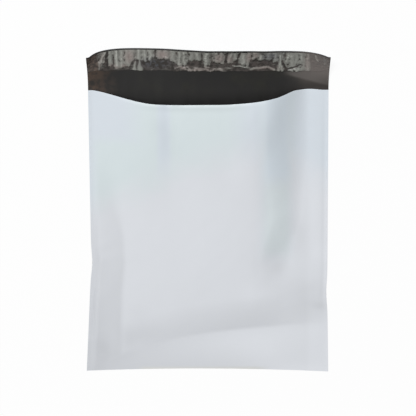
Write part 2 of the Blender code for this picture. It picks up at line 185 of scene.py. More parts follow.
@dataclass(frozen=True)
class BagForm:
    """Sizes of the film and the shape in which it lies.

    A place on the film is given by flat_x, across the flat blank from its middle, and by the
    height above the bottom fold or the reach from the mouth along the flap.
    """

    flat_width: float = 304.8 * MM
    pouch_depth: float = 355.6 * MM
    flap_length: float = 53.0 * MM
    gauge: float = 0.15 * MM
    weld_width: float = 5.0 * MM
    weld_gap: float = 0.03 * MM

    left_bottom_pull: float = 0.3 * MM
    left_waist_pull: float = 7.0 * MM
    left_waist_height: float = 138.0 * MM
    left_mouth_pull: float = 4.5 * MM
    left_flap_pull: float = 3.2 * MM
    right_bottom_pull: float = 1.6 * MM
    right_waist_pull: float = 3.1 * MM
    right_waist_height: float = 101.0 * MM
    right_mouth_pull: float = 2.4 * MM
    right_flap_pull: float = 0.7 * MM
    pucker_depth: float = 1.3 * MM
    pucker_reach: float = 17.0 * MM
    bottom_draw: float = 3.4 * MM
    bottom_skew: float = 0.8 * MM

    mouth_lift: float = 30.0 * MM
    lip_draw: float = 20.0 * MM
    lip_lean: float = 5.0 * MM
    lip_advance: float = 1.6 * MM
    lip_advance_reach: float = 15.0 * MM
    lip_advance_from_weld: float = 22.2 * MM
    left_ramp: float = 101.0 * MM
    left_ease: float = 0.75
    right_foot: float = 19.0 * MM
    right_ramp: float = 112.0 * MM
    lip_step_share: float = 0.4
    lip_step_from_weld: float = 48.5 * MM
    lip_step_width: float = 27.0 * MM

    lift_ramp: float = 205.0 * MM
    lift_ease: float = 1.25
    arch_reach: float = 150.0 * MM
    flank_from_weld: float = 48.5 * MM
    flank_width: float = 56.0 * MM
    flank_low_width: float = 40.0 * MM
    narrowing_start: float = 60.0 * MM
    narrowing_end: float = 160.0 * MM
    flank_drift: float = 15.5 * MM
    drift_start: float = 150.0 * MM
    drift_end: float = 215.0 * MM
    fade_start: float = 200.0 * MM
    fade_end: float = 255.0 * MM
    low_ramp: float = 95.0 * MM

    slack: float = 1.2 * MM
    pillow_rise: float = 6.0 * MM
    fullness_along: float = 0.5
    fullness_across: float = 0.6
    fold_taper: float = 22.0 * MM
    valley_press: float = 0.78
    valley_height: float = 66.0 * MM
    valley_spread: float = 115.0 * MM
    valley_upper: float = 43.0 * MM
    valley_upper_ease: float = 1.9
    valley_lower_left: float = 60.0 * MM
    valley_lower_right: float = 24.0 * MM
    groove_depth: float = 1.9 * MM
    groove_width: float = 9.0 * MM
    groove_from_left: float = 103.0 * MM
    groove_reach: float = 120.0 * MM

    shoulder_rise: float = 6.5 * MM
    shoulder_crest: float = 6.5 * MM
    shoulder_crease: float = 35.0 * MM
    shoulder_top: float = 160.0 * MM
    shoulder_top_ease: float = 150.0 * MM
    shoulder_tail: float = 3.5 * MM
    shoulder_tail_length: float = 45.0 * MM
    shoulder_tail_top: float = 36.0 * MM
    shoulder_tail_ease: float = 32.0 * MM

    flap_curl: float = 14.5 * MM
    curl_start: float = 46.0 * MM
    curl_full: float = 160.0 * MM
    curl_easing: float = 2.4 * MM
    curl_easing_start: float = 215.0 * MM
    curl_easing_end: float = 275.0 * MM
    left_corner_curl: float = 29.0 * MM
    left_corner_reach: float = 24.0 * MM
    right_corner_curl: float = 15.0 * MM
    right_corner_reach: float = 24.0 * MM
    steepest_curl: float = 0.95

    @property
    def half_width(self) -> float:
        """Half of the flat width."""
        return self.flat_width / 2.0

    @property
    def bottom_line(self) -> float:
        """Where the bottom fold would lie if the bag were flat."""
        return -(self.pouch_depth + self.flap_length) / 2.0

    @property
    def mouth_line(self) -> float:
        """Where the flap starts."""
        return self.bottom_line + self.pouch_depth

    def from_left(self, flat_x: Array) -> Array:
        """Distance from the film's left edge."""
        return flat_x + self.half_width

    def bow(
        self, height: Array, bottom_pull: float, waist_height: float, waist_pull: float,
        mouth_pull: float,
    ) -> Array:
        """How far a side is drawn in.

        Args:
            height: heights above the bottom fold.
            bottom_pull: how far it is drawn in at the bottom fold.
            waist_height: where the side is drawn in most.
            waist_pull: how far it is drawn in there.
            mouth_pull: how far it is drawn in at the mouth.

        Returns:
            One distance a height.
        """
        below = bottom_pull + (waist_pull - bottom_pull) * height / waist_height
        way = (height - waist_height) / (self.pouch_depth - waist_height)
        above = waist_pull + (mouth_pull - waist_pull) * way
        pucker = self.pucker_depth * bell(height - waist_height, self.pucker_reach)
        return np.where(height < waist_height, below, above) + pucker

    def side_x(self, height: Array, flat_x: Array) -> Array:
        """Where a line along the film lies across the bag.

        Args:
            height: heights above the bottom fold, past the mouth on the flap.
            flat_x: places across the flat blank.

        Returns:
            One place a point.
        """
        on_pouch = np.minimum(height, self.pouch_depth)
        left = self.bow(
            on_pouch, self.left_bottom_pull, self.left_waist_height, self.left_waist_pull,
            self.left_mouth_pull,
        )
        right = self.bow(
            on_pouch, self.right_bottom_pull, self.right_waist_height, self.right_waist_pull,
            self.right_mouth_pull,
        )
        way = smooth((height - self.pouch_depth) / self.flap_length)
        left = left + (self.left_flap_pull - self.left_mouth_pull) * way
        right = right + (self.right_flap_pull - self.right_mouth_pull) * way
        share = self.from_left(flat_x) / self.flat_width
        return flat_x + left * (1.0 - share) - right * share

    def bottom_y(self, flat_x: Array) -> Array:
        """The bottom fold, drawn up in its middle and lying a little askew."""
        across = flat_x / self.half_width
        draw = self.bottom_draw * (1.0 - across**2)
        return self.bottom_line + draw - self.bottom_skew * across

    def lip_profile(self, flat_x: Array) -> Array:
        """How far the lip draws back, from 0 at its feet to 1."""
        left = self.from_left(flat_x) - self.weld_width
        right = self.half_width - self.weld_width - flat_x
        rise = smooth(np.clip(left / self.left_ramp, 0.0, 1.0) ** self.left_ease)
        step = smooth((right - self.lip_step_from_weld) / self.lip_step_width + 0.5)
        ramp = smooth((right - self.right_foot) / self.right_ramp)
        return rise * (self.lip_step_share * step + (1.0 - self.lip_step_share) * ramp)

    def arch_profile(self, flat_x: Array, below_lip: Array) -> Array:
        """The arch of the front panel, from 0 at its feet to 1 on its crown.

        Args:
            flat_x: places across the flat blank.
            below_lip: distances below the lip.

        Returns:
            One share a point.
        """
        left = self.from_left(flat_x) - self.weld_width
        right = self.half_width - self.weld_width - flat_x
        rise = 1.0 - (1.0 - np.clip(left / self.lift_ramp, 0.0, 1.0)) ** self.lift_ease
        taper = self.narrowing_end - self.narrowing_start
        narrowing = smooth((below_lip - self.narrowing_start) / taper)
        width = self.flank_width + (self.flank_low_width - self.flank_width) * narrowing
        way = (below_lip - self.drift_start) / (self.drift_end - self.drift_start)
        middle = self.flank_from_weld + self.flank_drift * smooth(way)
        fall = smooth((right - middle) / width + 0.5)
        fade = smooth((below_lip - self.fade_start) / (self.fade_end - self.fade_start))
        return rise * (fall + (smooth(right / self.low_ramp) - fall) * fade)

    def valley_line(self, flat_x: Array) -> Array:
        """Height of the long crease across the foot of the front panel."""
        return self.valley_height * (1.0 - np.exp(-self.from_left(flat_x) / self.valley_spread))

    def valley(self, flat_x: Array, height: Array) -> Array:
        """The long valley across the foot of the front panel, 1 on its line."""
        away = height - self.valley_line(flat_x)
        across = self.from_left(flat_x) / self.flat_width
        below = self.valley_lower_left + (self.valley_lower_right - self.valley_lower_left) * across
        upper = np.clip(1.0 - away / self.valley_upper, 0.0, 1.0) ** self.valley_upper_ease
        return np.where(away > 0.0, upper, 1.0 / (1.0 + (away / below) ** 2))

    def shoulder(self, flat_x: Array, height: Array) -> Array:
        """The rise beside the left weld: it falls straight to a crease, and slowly near the fold."""
        left = np.maximum(self.from_left(flat_x) - self.weld_width, 0.0)
        run = self.shoulder_crease - self.shoulder_crest
        slope = np.clip((self.shoulder_crease - left) / run, 0.0, 1.0)
        end = smooth((self.shoulder_top - height) / self.shoulder_top_ease + 0.5)
        low = smooth((self.shoulder_tail_top - height) / self.shoulder_tail_ease + 0.5)
        tail = self.shoulder_tail * np.exp(-left / self.shoulder_tail_length) * low
        rise = self.shoulder_rise * slope * end * (1.0 - low) + tail
        return rise * smooth(left / self.shoulder_crest)

    def back_point(self, flat_x: Array, height: Array) -> Array:
        """Points on the inner face of the back panel, which lies flat, as rows of x, y and z."""
        foot = self.bottom_y(flat_x)
        y = foot + (self.mouth_line - foot) * height / self.pouch_depth
        return np.stack((self.side_x(height, flat_x), y, np.full_like(y, self.gauge)), axis=-1)

    def flap_lift(self, flat_x: Array) -> Array:
        """How far the flap's free edge has curled up."""
        left = self.from_left(flat_x)
        right = self.half_width - flat_x
        curl = self.flap_curl * smooth((left - self.curl_start) / (self.curl_full - self.curl_start))
        fade = self.curl_easing_end - self.curl_easing_start
        curl = curl - self.curl_easing * smooth((left - self.curl_easing_start) / fade)
        curl = curl + self.left_corner_curl * np.exp(-left / self.left_corner_reach)
        return curl + self.right_corner_curl * np.exp(-right / self.right_corner_reach)

    def flap_point(self, flat_x: Array, reach: Array) -> Array:
        """Points on the inner face of the flap, as rows of x, y and z."""
        curl = self.flap_lift(flat_x)
        share = reach / self.flap_length
        steepest = np.minimum(2.0 * curl * share / self.flap_length, self.steepest_curl)
        along = reach * (1.0 - steepest**2 / 6.0 - steepest**4 / 40.0)
        x = self.side_x(self.pouch_depth + reach, flat_x)
        z = self.gauge + curl * share**2 + self.flap_ripple(flat_x, reach)
        return np.stack((x, self.mouth_line + along, z), axis=-1)

    def flap_ripple(self, flat_x: Array, reach: Array) -> Array:
        """Soft waves that the shrunken glue leaves in the flap, growing towards its edge."""
        share = reach / self.flap_length
        waves = Ripple(seed=7, wavelength=34.0 * MM, stretch=2.5).at(flat_x, reach)
        return 0.7 * MM * waves * share**2

    def flap_frame(self, flat_x: Array, reach: Array) -> tuple[Array, Array]:
        """Points on the flap, and the unit normal that stands up from the film at each."""
        step = 0.5 * MM
        here = self.flap_point(flat_x, reach)
        across = self.flap_point(flat_x + step, reach) - self.flap_point(flat_x - step, reach)
        along = self.flap_point(flat_x, reach + step) - self.flap_point(flat_x, reach - step)
        up = np.cross(across, along)
        return here, up / np.linalg.norm(up, axis=-1, keepdims=True)


# Spots of painted shade (share above 0) and painted light (share below 0) on the white film, by
# millimetres from the left and above the bottom fold
PAINTED_SHADE_SPOTS = tuple(
    Spot(*row) for row in (
        (150.0, 190.0, 60.0, 70.0, -0.12), (252.0, 205.0, 15.0, 42.0, -0.32),
        (223.0, 240.0, 10.0, 36.0, 0.14), (80.0, 245.0, 26.0, 40.0, 0.10),
        (228.0, 308.0, 11.0, 28.0, 0.30), (241.0, 178.0, 10.0, 24.0, -0.24),
        (242.0, 322.0, 8.0, 26.0, 0.12), (268.0, 285.0, 11.0, 55.0, -0.16),
        (289.0, 205.0, 12.0, 55.0, -0.14), (95.0, 300.0, 9.0, 60.0, 0.12),
        (66.0, 47.0, 30.0, 15.0, 0.27), (230.0, 18.0, 34.0, 20.0, -0.20),
        (6.0, 70.0, 12.0, 42.0, 0.28), (296.0, 84.0, 11.0, 5.5, 0.35),
        (212.0, 104.0, 24.0, 15.0, -0.15), (34.0, 46.0, 9.0, 12.0, -0.18),
        (33.0, 18.0, 13.0, 9.0, 0.13), (9.0, 132.0, 9.0, 20.0, 0.18),
        (60.0, 76.0, 15.0, 12.0, 0.13), (258.0, 160.0, 16.0, 16.0, 0.13),
        (186.0, 273.0, 14.0, 26.0, -0.13), (100.0, 306.0, 13.0, 26.0, 0.22),
        (212.0, 150.0, 11.0, 18.0, 0.08), (241.0, 136.0, 11.0, 10.0, 0.22),
        (267.0, 178.0, 9.0, 14.0, 0.24), (294.0, 152.0, 10.0, 13.0, -0.18),
        (50.0, 38.0, 10.0, 16.0, 0.22), (262.0, 2.0, 46.0, 9.0, -0.22),
        (90.0, 329.0, 12.0, 12.0, 0.16),
    )
)


# Waves in the lip's line: place from the left, reach and rise towards the flap, in millimetres
LIP_WAVES = ((243.0, 9.0, 1.15), (270.0, 13.0, -0.55), (218.0, 9.0, -0.40))


@dataclass(frozen=True)
class FrontPanel:
    """The slack, arched front panel, with the folds that show in its light."""

    form: BagForm
    detail_hold: float = 4.0 * MM
    ripple_depth: float = 0.16 * MM
    pucker_height: float = 0.9 * MM
    flare_height: float = 1.0 * MM
    flare_reach: float = 16.0 * MM
    pucker_lines: tuple[Reach, Reach] = ((101.0 * MM, -0.35), (138.0 * MM, 0.3))
    lip_swell: float = 0.75
    lip_swell_stops: tuple[float, float, float] = (84.0, 196.0, 22.0)

    # Painted shade on the white film: an even share, a strip by the left weld, the foot under the long
    # valley, the lower left corner, a band by the right weld and a band just below the lip
    plain_painted_shade: float = 0.35
    right_weld_ease: float = 0.16
    strip_painted_shade: float = 0.35
    strip_width: float = 43.0 * MM
    strip_high_cut: float = 12.0 * MM
    strip_top: float = 290.0 * MM
    foot_painted_shade: float = 0.58
    foot_reach: float = 200.0 * MM
    corner_painted_shade: float = 0.62
    corner_width: float = 46.0 * MM
    corner_height: float = 62.0 * MM
    band_painted_shade: float = 0.27
    band_width: float = 58.0 * MM
    band_bottom: float = 64.0 * MM
    band_top: float = 112.0 * MM
    lip_painted_shade: float = 0.5
    lip_painted_shade_depth: float = 13.0 * MM

    def stand_off(self, flat_x: Array, height: Array) -> Array:
        """How far the panel stands off the back panel.

        Args:
            flat_x: places across the flat blank.
            height: heights above the bottom fold.

        Returns:
            One distance a point, the weld's own gap where the films are joined.
        """
        form = self.form
        inside = form.half_width - form.weld_width
        free = np.clip(1.0 - (flat_x / inside) ** 2, 0.0, 1.0)
        below_lip = form.pouch_depth - height
        foot = 1.0 - np.exp(-height / form.fold_taper)
        arch = form.mouth_lift * form.arch_profile(flat_x, below_lip)
        arch = arch / (1.0 + (below_lip / form.arch_reach) ** 2)
        swell = np.clip(np.sin(math.pi * height / form.pouch_depth), 0.0, 1.0)
        pillow = form.slack + form.pillow_rise * swell**form.fullness_along
        pillow = pillow * free**form.fullness_across
        gap = (arch + pillow) * (1.0 - form.valley_press * form.valley(flat_x, height))
        gap = (gap + form.shoulder(flat_x, height)) * foot
        groove = bell(form.from_left(flat_x) - form.groove_from_left, form.groove_width)
        groove = form.groove_depth * groove * (1.0 - smooth(below_lip / form.groove_reach))
        gap = gap + (self.folds(flat_x, height) - groove) * gap / (gap + self.detail_hold)
        gap = np.maximum(gap, 0.02 * MM * free)
        return form.weld_gap + np.where(np.abs(flat_x) < inside, gap, 0.0)

    def folds(self, flat_x: Array, height: Array) -> Array:
        """The panel's creases, up or down from its slack form.

        Args:
            flat_x: places across the flat blank.
            height: heights above the bottom fold.

        Returns:
            One height a point.
        """
        form = self.form
        left = form.from_left(flat_x)
        right = form.half_width - flat_x
        ripple = Ripple(seed=3, wavelength=62.0 * MM, stretch=1.7).at(flat_x, height)
        fine = Ripple(seed=11, wavelength=19.0 * MM, stretch=1.5).at(flat_x, height)
        edge = np.exp(-np.minimum(left, right) / (16.0 * MM))
        puckers = np.zeros_like(flat_x)
        for place, (reach, lean) in zip((right, left), self.pucker_lines):
            away = height - reach - lean * place
            puckers += bell(away, 5.0 * MM) * np.exp(-place / (20.0 * MM))
            puckers -= 0.7 * bell(away - 11.0 * MM, 4.0 * MM) * np.exp(-place / (15.0 * MM))
        waves = self.ripple_depth * (ripple + 0.35 * fine * (1.0 + 2.0 * edge))
        flare = self.flare_height * np.exp((height - form.pouch_depth) / self.flare_reach)
        return waves + self.pucker_height * puckers + flare

    def tone(self, flat_x: Array, height: Array) -> Array:
        """The painted shade on the white film: along its left edge and foot, in its lower left corner,
        in a band by the right weld and just below the lip, with spots of painted shade and painted
        light.

        Args:
            flat_x: places across the flat blank.
            height: heights above the bottom fold.

        Returns:
            One share a point.
        """
        form = self.form
        left = form.from_left(flat_x)
        right = form.half_width - flat_x
        high = smooth((height - 165.0 * MM) / (70.0 * MM))
        width = self.strip_width - self.strip_high_cut * high - left
        inner = smooth(width / (7.0 * MM + 16.0 * MM * high) + 0.5)
        strip = self.strip_painted_shade * inner * smooth((self.strip_top - height) / (90.0 * MM))
        strip = strip * (1.0 - 0.9 * high * smooth((15.0 * MM - left) / (9.0 * MM)))
        under = smooth((form.valley_line(flat_x) - height) / (8.0 * MM) + 0.5)
        foot = self.foot_painted_shade * under * np.clip(1.0 - left / self.foot_reach, 0.0, 1.0)
        corner = self.corner_painted_shade * smooth((self.corner_width - left) / (28.0 * MM))
        corner = corner * smooth((self.corner_height - height) / (36.0 * MM))
        band = self.band_painted_shade * smooth((self.band_width - right) / (36.0 * MM))
        band = band * window(height, self.band_bottom, self.band_top, 26.0 * MM)
        lip = height - form.pouch_depth + self.lip_painted_shade_depth
        lip = self.lip_painted_shade * smooth(lip / (11.0 * MM))
        lip = lip * window(left, 72.0 * MM, 196.0 * MM, 50.0 * MM)
        plain = self.plain_painted_shade - self.right_weld_ease * smooth((30.0 * MM - right) / (10.0 * MM))
        # Painted shade: the largest of the strip, foot, corner and band shares, the lip band added,
        # then the spots of painted shade and light
        tone = plain + np.maximum(np.maximum(strip, foot), np.maximum(corner, band)) + lip
        for spot in PAINTED_SHADE_SPOTS:
            tone = tone + spot.at(left / MM, height / MM)
        return np.clip(tone, 0.0, 1.0)

    def point(self, flat_x: Array, height: Array) -> Array:
        """Points on the inner face of the front panel.

        Args:
            flat_x: places across the flat blank.
            height: heights above the bottom fold.

        Returns:
            One row of x, y and z a point.
        """
        form = self.form
        foot = form.bottom_y(flat_x)
        from_weld = form.half_width - form.weld_width - flat_x
        crest = from_weld - form.lip_advance_from_weld
        advance = form.lip_advance * bell(crest, form.lip_advance_reach)
        advance = advance * smooth(from_weld / (10.0 * MM))
        left = form.from_left(flat_x) / MM
        wave = self.lip_swell * window(left, *self.lip_swell_stops)
        for middle, reach, rise in LIP_WAVES:
            wave = wave + rise * bell(left - middle, reach)
        advance = advance + wave * MM
        draw = form.lip_draw * form.lip_profile(flat_x)
        lean = form.lip_lean * form.arch_profile(flat_x, np.zeros_like(flat_x))
        lip = form.mouth_line + advance - draw + lean
        y = foot + (lip - foot) * height / form.pouch_depth
        z = form.gauge + self.stand_off(flat_x, height)
        return np.stack((form.side_x(height, flat_x), y, z), axis=-1)


# Materials


class Nodes:
    """A material's node tree, with a method for each kind of node that the finishes use."""

    def __init__(self, name: str) -> None:
        """Start a material that holds a Principled shader."""
        self.material = bpy.data.materials.new(name)
        self.material.use_nodes = True
        self.tree = self.material.node_tree
        self.shader = self.tree.nodes["Principled BSDF"]

    def add(self, kind: str, **inputs: object) -> bpy.types.Node:
        """A node with some of its inputs set or linked.

        Args:
            kind: the node's type.
            inputs: values or output sockets, by input name with _ for a space.

        Returns:
            The node.
        """
        node = self.tree.nodes.new(kind)
        for name, value in inputs.items():
            self.plug(value, node.inputs[name.replace("_", " ")])
        return node

    def plug(self, value: object, socket: Socket) -> None:
        """Set a socket to a value, or link an output to it."""
        if isinstance(value, Socket):
            self.tree.links.new(value, socket)
        else:
            socket.default_value = value

    def place(self) -> Socket:
        """The Object coordinates."""
        return self.add("ShaderNodeTexCoord").outputs["Object"]

    def attribute(self, name: str) -> Socket:
        """A number that the mesh carries at each vertex."""
        node = self.add("ShaderNodeAttribute")
        node.attribute_name = name
        return node.outputs["Fac"]

    def axis(self, name: str) -> Socket:
        """One of the Object coordinates."""
        return self.add("ShaderNodeSeparateXYZ", Vector=self.place()).outputs[name]

    def noise(self, scale: float, detail: float, stretch: Colour = (1.0, 1.0, 1.0)) -> Socket:
        """Noise over the Object coordinates, with a scale in features a metre and for each axis."""
        mapping = self.add("ShaderNodeMapping", Vector=self.place(), Scale=stretch)
        node = self.add("ShaderNodeTexNoise", Vector=mapping.outputs[0], Scale=scale, Detail=detail)
        return node.outputs["Fac"]

    def span(
        self, value: Socket, start: float, end: float, low: float = 0.0, high: float = 1.0
    ) -> Socket:
        """A number mapped smoothly from one range to another.

        Args:
            value: the number.
            start: where the range starts.
            end: where the range ends.
            low: the result at the start.
            high: the result at the end.

        Returns:
            The mapped number.
        """
        node = self.add("ShaderNodeMapRange")
        node.interpolation_type = "SMOOTHSTEP"
        for index, number in enumerate((value, start, end, low, high)):
            self.plug(number, node.inputs[index])
        return node.outputs["Result"]

    def math(self, operation: str, first: object, second: object = 0.0) -> Socket:
        """Two numbers put through one operation."""
        node = self.add("ShaderNodeMath")
        node.operation = operation
        self.plug(first, node.inputs[0])
        self.plug(second, node.inputs[1])
        return node.outputs[0]

    def times(self, *shares: object) -> Socket:
        """Some numbers multiplied, from the first to the last."""
        total = shares[0]
        for share in shares[1:]:
            total = self.math("MULTIPLY", total, share)
        return total

    def band(self, value: Socket, stops: Stops) -> Socket:
        """1 where a number lies between two eased edges, whose four stops run upwards."""
        first, second, third, fourth = stops
        return self.times(self.span(value, first, second), self.span(value, fourth, third))

    def mix(self, share: object, first: object, second: object) -> Socket:
        """Two colours mixed.

        Args:
            share: how much of the second.
            first: a colour or socket.
            second: a colour or socket.

        Returns:
            The mixed colour.
        """
        node = self.add("ShaderNodeMix")
        node.data_type = "RGBA"
        self.plug(share, node.inputs["Factor"])
        for value, socket in ((first, node.inputs[6]), (second, node.inputs[7])):
            self.plug((*value, 1.0) if isinstance(value, tuple) else value, socket)
        return node.outputs[2]

    def bump(self, height: Socket, depth: float) -> None:
        """Bumps on the shader, with the height of 1 given in metres."""
        node = self.add("ShaderNodeBump", Height=height, Strength=1.0, Distance=depth)
        self.plug(node.outputs[0], self.shader.inputs["Normal"])

    def finish(self, colour: object, roughness: object, specular: float = 0.5) -> bpy.types.Material:
        """Give the shader its colour and gloss.

        Args:
            colour: the base colour.
            roughness: how rough the surface is.
            specular: how strongly it reflects, 0.5 for plain plastic.

        Returns:
            The material.
        """
        self.plug(colour, self.shader.inputs["Base Color"])
        self.plug(roughness, self.shader.inputs["Roughness"])
        self.plug(specular, self.shader.inputs["Specular IOR Level"])
        return self.material


@dataclass(frozen=True)
class WhiteFilm:
    """The satin white outside of the film, with painted shade: its front panel's painted shade share, a
    cooler tint down the right flank and the groove, and a line along the bottom fold.
    """

    name: str = "white_film"
    body: Colour = (0.740, 0.764, 0.805)
    cool: Colour = (0.678, 0.761, 0.778)
    side: Colour = (0.681, 0.741, 0.800)
    # Darker, cooler painted shade tint down the right flank and in the groove
    painted_shade_blue: Colour = (0.680, 0.750, 0.810)
    # Painted shade along the bottom fold
    painted_fold_shade: Colour = (0.672, 0.680, 0.668)
    # How much of each colour is kept under full painted shade
    in_painted_shade: float = 0.80

    middle_lane: Stops = (-0.110, -0.072, 0.020, 0.060)
    flank_lane: Stops = (0.056, 0.078, 0.094, 0.114)
    flank_foot: Reach = (-0.072, -0.042)
    groove_lane: Stops = (-0.066, -0.058, -0.050, -0.042)
    groove_foot: Reach = (0.030, 0.070)
    left_lane: Stops = (-0.150, -0.132, -0.05, 0.0)
    left_top: Reach = (0.100, 0.080)
    fold_lane: Stops = (-0.092, -0.076, 0.056, 0.082)

    def shaded(self, colour: Colour) -> Colour:
        """A colour darkened as it is under full painted shade."""
        return tuple(channel * self.in_painted_shade for channel in colour)

    def build(self, form: BagForm) -> bpy.types.Material:
        """Make the material.

        Args:
            form: the bag's sizes.

        Returns:
            The material.
        """
        nodes = Nodes(self.name)
        up, across = nodes.axis("Y"), nodes.axis("X")
        aside = nodes.math("ABSOLUTE", nodes.math("SUBTRACT", across, 0.035))
        wander = nodes.math("ADD", up, nodes.times(nodes.noise(14.0, 3.0), 0.08))
        wander = nodes.math("ADD", wander, nodes.times(aside, 0.48))
        middle = nodes.band(across, self.middle_lane)
        lane = nodes.times(nodes.band(across, self.flank_lane), nodes.span(up, *self.flank_foot))
        lower = nodes.times(nodes.band(across, self.left_lane), nodes.span(up, *self.left_top))
        middle = nodes.math("MAXIMUM", nodes.math("MAXIMUM", middle, lower), lane)
        upper = nodes.span(wander, 0.100, 0.165, 0.0, 0.9)
        share = nodes.span(up, 0.030, 0.055, 0.65, 1.0)
        upper = nodes.math("MAXIMUM", upper, nodes.times(lane, share))
        # Painted shade: the right flank lane and the groove take the darker, cooler tint
        groove = nodes.times(nodes.band(across, self.groove_lane), nodes.span(up, *self.groove_foot))
        deep = nodes.math("MAXIMUM", nodes.times(lane, nodes.span(up, 0.026, 0.050)), groove)
        tint = nodes.mix(deep, nodes.mix(middle, self.side, self.cool), self.painted_shade_blue)
        colour = nodes.mix(upper, self.body, tint)
        # The colours under full painted shade, mixed in by the mesh's painted shade share
        dim = nodes.mix(middle, self.shaded(self.side), self.shaded(self.cool))
        dim = nodes.mix(deep, dim, self.shaded(self.painted_shade_blue))
        in_painted_shade = nodes.mix(upper, self.shaded(self.body), dim)
        colour = nodes.mix(nodes.attribute("tone"), colour, in_painted_shade)
        # Painted shade line along the bottom fold
        fold = nodes.span(up, form.bottom_line + 8.0 * MM, form.bottom_line + 3.0 * MM)
        fold = nodes.times(fold, nodes.band(across, self.fold_lane))
        colour = nodes.mix(fold, colour, self.painted_fold_shade)
        streak = nodes.noise(90.0, 2.0, (1.0, 0.12, 1.0))
        grain = nodes.math("ADD", nodes.noise(55.0, 4.0), nodes.times(streak, 0.4))
        nodes.bump(grain, 0.05 * MM)
        return nodes.finish(colour, nodes.span(streak, 0.3, 0.7, 0.38, 0.47), 0.4)


@dataclass(frozen=True)
class DarkFilm:
    """The dark grey inside of the film, with a painted warm sheen where it curls up to the light at its
    ends, a painted sheen fan by the flap's right corner and painted shade deep under the front lip.
    """

    name: str = "dark_film"
    body: Colour = (0.0185, 0.0180, 0.0175)
    # Painted shade deeper inside the pouch, under the front lip
    low: Colour = (0.0140, 0.0135, 0.0130)
    olive: Colour = (0.0230, 0.0225, 0.0185)
    # Painted warm sheen at the left end, where the film curls up
    brown: Colour = (0.080, 0.054, 0.040)
    umber: Colour = (0.028, 0.024, 0.021)
    # Painted sheen on the curled right corner, brighter towards the flap's edge
    painted_sheen_low: Colour = (0.036, 0.031, 0.028)
    painted_sheen_high: Colour = (0.188, 0.163, 0.151)
    sheen: Colour = (0.118, 0.107, 0.100)
    rim: Colour = (0.102, 0.102, 0.100)

    left_end: Reach = (-0.090, -0.136)
    right_end: Reach = (0.104, 0.152)
    corner_rise: Reach = (4.0 * MM, 31.0 * MM)
    wedge_slant: float = 0.27
    wedge_foot: Reach = (44.0 * MM, 48.0 * MM)
    wedge_top: Reach = (24.0 * MM, 22.6 * MM)

    def from_mouth(self, form: BagForm, reach: Reach) -> Reach:
        """Where two distances from the mouth line lie along the bag."""
        return form.mouth_line + reach[0], form.mouth_line + reach[1]

    def build(self, form: BagForm) -> bpy.types.Material:
        """Make the material.

        Args:
            form: the bag's sizes.

        Returns:
            The material.
        """
        nodes = Nodes(self.name)
        across, up = nodes.axis("X"), nodes.axis("Y")
        place = nodes.math("ADD", across, nodes.times(nodes.noise(40.0, 3.0), 0.03))
        left = nodes.span(place, *self.left_end)
        right = nodes.span(place, *self.right_end)
        # Painted shade: darker from just above the mouth line down into the pouch
        depth = nodes.span(up, *self.from_mouth(form, (12.0 * MM, -16.0 * MM)))
        patch = nodes.span(nodes.noise(26.0, 3.0), 0.46, 0.66)
        colour = nodes.mix(depth, nodes.mix(patch, self.body, self.olive), self.low)
        # Painted warm sheen at the left end
        painted_warm_sheen = nodes.mix(nodes.span(nodes.noise(95.0, 3.0), 0.38, 0.62), self.umber, self.brown)
        colour = nodes.mix(left, colour, painted_warm_sheen)
        # Painted sheen at the right end, brighter up the curled corner
        corner = nodes.span(up, *self.from_mouth(form, self.corner_rise))
        colour = nodes.mix(right, colour, nodes.mix(corner, self.painted_sheen_low, self.painted_sheen_high))
        slant = nodes.math("ADD", up, nodes.times(across, self.wedge_slant))
        wedge = nodes.times(
            nodes.span(slant, *self.from_mouth(form, self.wedge_foot)),
            nodes.span(across, 0.092, 0.108, 0.0, 0.75),
            nodes.span(across, 0.152, 0.124, 0.5, 1.0),
            nodes.span(up, *self.from_mouth(form, self.wedge_top)),
        )
        colour = nodes.mix(wedge, colour, self.sheen)
        colour = nodes.mix(nodes.attribute("rim"), colour, self.rim)
        streak = nodes.noise(70.0, 3.0, (1.0, 0.2, 1.0))
        nodes.bump(nodes.noise(120.0, 4.0), 0.06 * MM)
        return nodes.finish(colour, nodes.span(streak, 0.3, 0.7, 0.33, 0.44), 0.3)


@dataclass(frozen=True)
class HotMelt:
    """Tacky pale amber glue on dark film."""

    name: str = "hot_melt"
    body: Colour = (0.050, 0.040, 0.030)
    pale: Colour = (0.095, 0.080, 0.062)

    def build(self) -> bpy.types.Material:
        """Make the material."""
        nodes = Nodes(self.name)
        patch = nodes.span(nodes.noise(160.0, 3.0), 0.4, 0.65)
        nodes.bump(nodes.noise(300.0, 3.0), 0.08 * MM)
        return nodes.finish(nodes.mix(patch, self.body, self.pale), 0.3)


